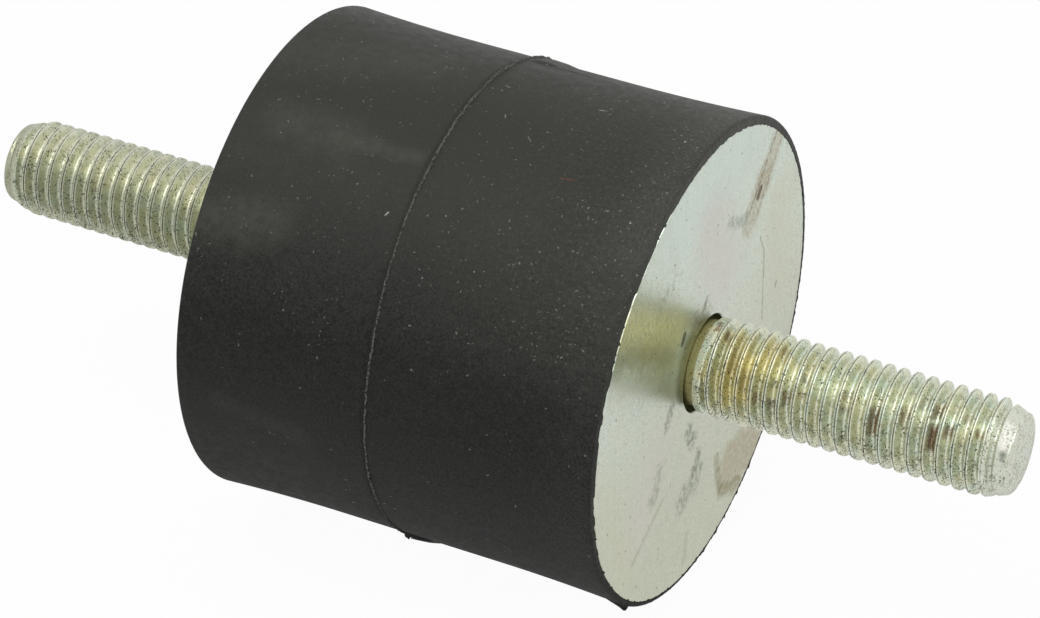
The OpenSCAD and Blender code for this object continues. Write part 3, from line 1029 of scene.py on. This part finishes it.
def stud_finish(name, facing, phase, lean, gold, flank_shade, underside_grime_and_shade, groove, rust, gilt_and_highlight_colour, gilt_and_highlights, spots_and_highlight, tip_colour):
    """Yellow-green zinc with bright crests, pits, yellowed patches and rust; painted shade darkens the folds,
    the inner flanks, the neck and the underside, and painted highlights light the rear's top and the front's
    tip.
    """
    material, tree, shader, place = new_material(name)
    lowered = vector_calc(tree, "SUBTRACT", place, (0, 0, lean))
    centred = vector_calc(tree, "MULTIPLY", lowered, (facing, facing, 1))
    thread = use(tree, THREAD, Place=centred, Offset=0.25 + phase / 360 - FIRST_ROOT / PITCH)
    off_crest = calc(tree, "ABSOLUTE", calc(tree, "SUBTRACT", thread["Across"], 0.5))
    wound = between(tree, thread["Along"], COLLAR_END, COLLAR_END + RUN_OUT)
    threaded = times(tree, wound,
                    between(tree, thread["Radius"], CREST_R - 0.32 * MM, CREST_R - 0.22 * MM))
    fold = times(tree, threaded, between(tree, off_crest, 0.055, 0.02))
    lip = times(tree, threaded, between(tree, off_crest, 0.035, 0.06), between(tree, off_crest, 0.13, 0.10))
    inner = times(tree, wound, between(tree, thread["Across"], 0.0, 0.08),
                  between(tree, thread["Across"], 0.46, 0.36))
    neck = between(tree, thread["Along"], NECK_END + 0.06 * MM, NECK_END)
    tint = cloud(tree, place, 480)
    grain = cloud(tree, place, 6200, 3, 0.6)
    below = between(tree, thread["Height"], 4.2 * MM, -4.2 * MM)
    colour = mix(tree, between(tree, tint, 0.35, 0.65), GREEN_ZINC, YELLOW_ZINC)
    # Yellow patches on the front stud; on the rear stud the same strokes paint a highlight band along its top
    for along, degrees, half_length in gilt_and_highlights:
        ends = on_stud(along, degrees, half_length, lean)
        mark = stroke(tree, place, ends, GILT_AND_HIGHLIGHT_WIDTH, ragged=1.6, grain=700.0, soft=1.4, patchy=0.3)
        colour = mix(tree, times(tree, mark, 0.78), colour, gilt_and_highlight_colour)
    golden = between(tree, thread["Along"], 46 * MM, 28 * MM, 0.0, gold)
    colour = mix(tree, times(tree, inner, golden), colour, GOLD)
    # Painted shade: the flank that faces the plate is painted darker, where the crest before it shades it
    colour = mix(tree, times(tree, inner, flank_shade), colour, INNER_FLANK_SHADE)
    # Painted shade: the neck, sunk in the plate's hole, is painted a dark bronze
    colour = mix(tree, neck, colour, NECK_SHADE_BRONZE)
    tip = between(tree, thread["Along"], TIP_X - TIP_BEVEL, TIP_X - 0.6 * TIP_BEVEL)
    colour = mix(tree, tip, colour, tip_colour)
    stains = between(tree, cloud(tree, place, 1300, 4, 0.6), 0.48, 0.68, 0.0, 0.50)
    colour = mix(tree, times(tree, stains, wound), colour, DRIED_OIL)
    colour = mix(tree, times(tree, lip, 0.55), colour, LIP_SILVER)
    # Painted shade with some grime: all of each stud below a narrow strip along its top is painted darker
    under = between(tree, thread["Height"], 4.45 * MM, 3.75 * MM)
    colour = mix(tree, times(tree, under, underside_grime_and_shade), colour, GRIME_AND_UNDERSIDE_SHADE)
    for polish_and_highlight, along, degrees, half_length, width in spots_and_highlight:
        ends = on_stud(along, degrees, half_length, lean)
        mark = stroke(tree, place, ends, width, ragged=1.2, grain=1100.0, soft=1.0, patchy=0.2)
        colour = mix(tree, times(tree, mark, 0.9), colour, polish_and_highlight)
    colour = mix(tree, between(tree, grain, 0.35, 0.70, 0.20, 0.0), colour, DULL_GRAIN)
    crowd = times(tree, calc(tree, "SUBTRACT", cloud(tree, place, 700), 0.5), 0.3)
    crowd = calc(tree, "ADD", crowd, times(tree, below, 0.06))
    pitted = calc(tree, "ADD", cloud(tree, place, 5200, 2, 0.6), crowd)
    # The fold of each crest is darkened by dirt and by painted shade; groove sets how strongly
    dirty_shaded_fold = times(tree, fold, between(tree, grain, 0.38, 0.56, 0.2, 1.0), groove)
    pits = times(tree, between(tree, pitted, 0.59, 0.66), between(tree, tip, 0, 1, 1.0, 0.8))
    dark = calc(tree, "MAXIMUM", pits, dirty_shaded_fold)
    colour = mix(tree, times(tree, dark, 0.84), colour, PIT_AND_FOLD_SHADE_BLACK)
    dull = between(tree, grain, 0.3, 0.75, 0.34, 0.50)
    dull = calc(tree, "SUBTRACT", dull, times(tree, lip, 0.10))
    crest = times(tree, between(tree, thread["Across"], 0.42, 0.48),
                  between(tree, thread["Across"], 0.72, 0.64))
    hollow = calc(tree, "SUBTRACT", 1.0, crest)
    for along, degrees, half_length, strength in rust:
        ends = on_stud(along, degrees, half_length, lean)
        mark = stroke(tree, place, ends, RUST_WIDTH, ragged=1.3, grain=2600.0, soft=0.5, patchy=0.45)
        eaten = times(tree, mark, hollow, strength)
        colour = mix(tree, eaten, colour, RUST)
        dull = calc(tree, "ADD", dull, times(tree, eaten, 0.3))
    shader["Metallic"].default_value = 1.0
    feed(tree, shader["Base Color"], colour)
    feed(tree, shader["Roughness"], dull)
    rough = calc(tree, "SUBTRACT", times(tree, grain, 0.6), dark)
    feed(tree, shader["Normal"], bump(tree, rough, STUD_GRAIN))
    return material


# %% [markdown]
# Each piece now gets its finish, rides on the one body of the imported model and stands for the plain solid
# that it dresses.

# %% Dress the pieces
PALE_TIP = linear(0.73, 0.76, 0.66)
GREY_TIP = linear(0.46, 0.47, 0.36)
DRESSED = [
    (rubber, "rubber_body", "black_rubber", rubber_finish()),
    (front_plate, "front_plate", "zinc_plate", plate_finish("front_zinc", FRONT_PLATE_STROKES)),
    (rear_plate, "rear_plate", "zinc_plate", plate_finish("rear_zinc", [])),
    # The two studs differ in painted shade on flanks, folds and underside, the rear's painted highlight band
    # and the front's painted tip highlight
    (front_stud, "front_stud", "zinc_stud",
     stud_finish("front_stud_zinc", 1, FRONT_PHASE, FRONT_LEAN, gold=0.4, flank_shade=0.03, underside_grime_and_shade=0.10, groove=0.4,
                 rust=FRONT_RUST, gilt_and_highlight_colour=GILT, gilt_and_highlights=FRONT_GILT, spots_and_highlight=FRONT_SPOTS_AND_TIP_HIGHLIGHT, tip_colour=PALE_TIP)),
    (rear_stud, "rear_stud", "zinc_stud",
     stud_finish("rear_stud_zinc", -1, REAR_PHASE, REAR_LEAN, gold=0.0, flank_shade=0.20, underside_grime_and_shade=0.38, groove=0.7,
                 rust=[], gilt_and_highlight_colour=HIGHLIGHT_STRAW, gilt_and_highlights=REAR_HIGHLIGHT_BAND, spots_and_highlight=[], tip_colour=GREY_TIP)),
]
for piece, node, slot, finish in DRESSED:
    piece.data.materials.append(finish)
    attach(piece, "root")
    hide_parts(node)
    print(piece.name, "stands for", node)

# %% [markdown]
# The floor is a pale sheet that the camera and the metal see as almost white, while it still takes the
# shadow. Light Path picks the rays that see it so. The lamps are soft boxes above and to the right, at a
# plain level.

# %% Floor and light
PAPER = linear(0.88, 0.88, 0.87)
WHITE = linear(1, 1, 1)
FLOOR_SIZE = 4.0
FLOOR_WHITE = 0.965
FLOOR_SHINE = 0.93
SKY_WHITE = 1.0
SKY_SHINE = 0.95
SKY_LIGHT = 0.5


def seen_as(tree, white, shine):
    """White for rays from the camera, shine for rays off or through a surface, 0 for the rest."""
    path = put(tree, "LightPath").outputs
    polished = calc(tree, "MAXIMUM", path["Is Glossy Ray"], path["Is Transmission Ray"])
    return calc(tree, "MAXIMUM", times(tree, path["Is Camera Ray"], white), times(tree, polished, shine))


def floor_finish():
    """White paper."""
    material = bpy.data.materials.new("white_paper")
    material.use_nodes = True
    tree = material.node_tree
    tree.nodes.clear()
    paper = put(tree, "BsdfDiffuse")
    paper.inputs["Color"].default_value = PAPER
    glow = put(tree, "Emission")
    glow.inputs["Color"].default_value = WHITE
    both = put(tree, "MixShader")
    feed(tree, both.inputs[0], seen_as(tree, FLOOR_WHITE, FLOOR_SHINE))
    tree.links.new(paper.outputs[0], both.inputs[1])
    tree.links.new(glow.outputs[0], both.inputs[2])
    tree.links.new(both.outputs[0], put(tree, "OutputMaterial").inputs["Surface"])
    return material


bpy.ops.object.select_all(action="DESELECT")
bpy.ops.mesh.primitive_plane_add(size=FLOOR_SIZE, location=(0, 0, FLOOR_Z))
floor = bpy.context.object
floor.name = "floor"
floor.data.materials.append(floor_finish())

# %% Sky
world = bpy.data.worlds.new("studio")
bpy.context.scene.world = world
world.use_nodes = True
sky = world.node_tree
sky_light = sky.nodes["Background"]
sky_light.inputs["Color"].default_value = WHITE
sky_strength = calc(sky, "MAXIMUM", seen_as(sky, SKY_WHITE, SKY_SHINE), SKY_LIGHT)
feed(sky, sky_light.inputs["Strength"], sky_strength)

# %% Lamps


def soft_box(name, place, size, power):
    """A square lamp aimed at the object."""
    bpy.ops.object.select_all(action="DESELECT")
    bpy.ops.object.light_add(type="AREA", location=place)
    lamp = bpy.context.object
    lamp.name = name
    lamp.data.size = size
    lamp.data.energy = power
    lamp.rotation_euler = (-Vector(place)).to_track_quat("-Z", "Y").to_euler()
    print(name, power, "watts")


soft_box("key_box", place=(-0.25, -0.25, 0.75), size=0.5, power=2.4)
soft_box("right_box", place=(0.75, 0.10, 0.30), size=0.45, power=1.4)
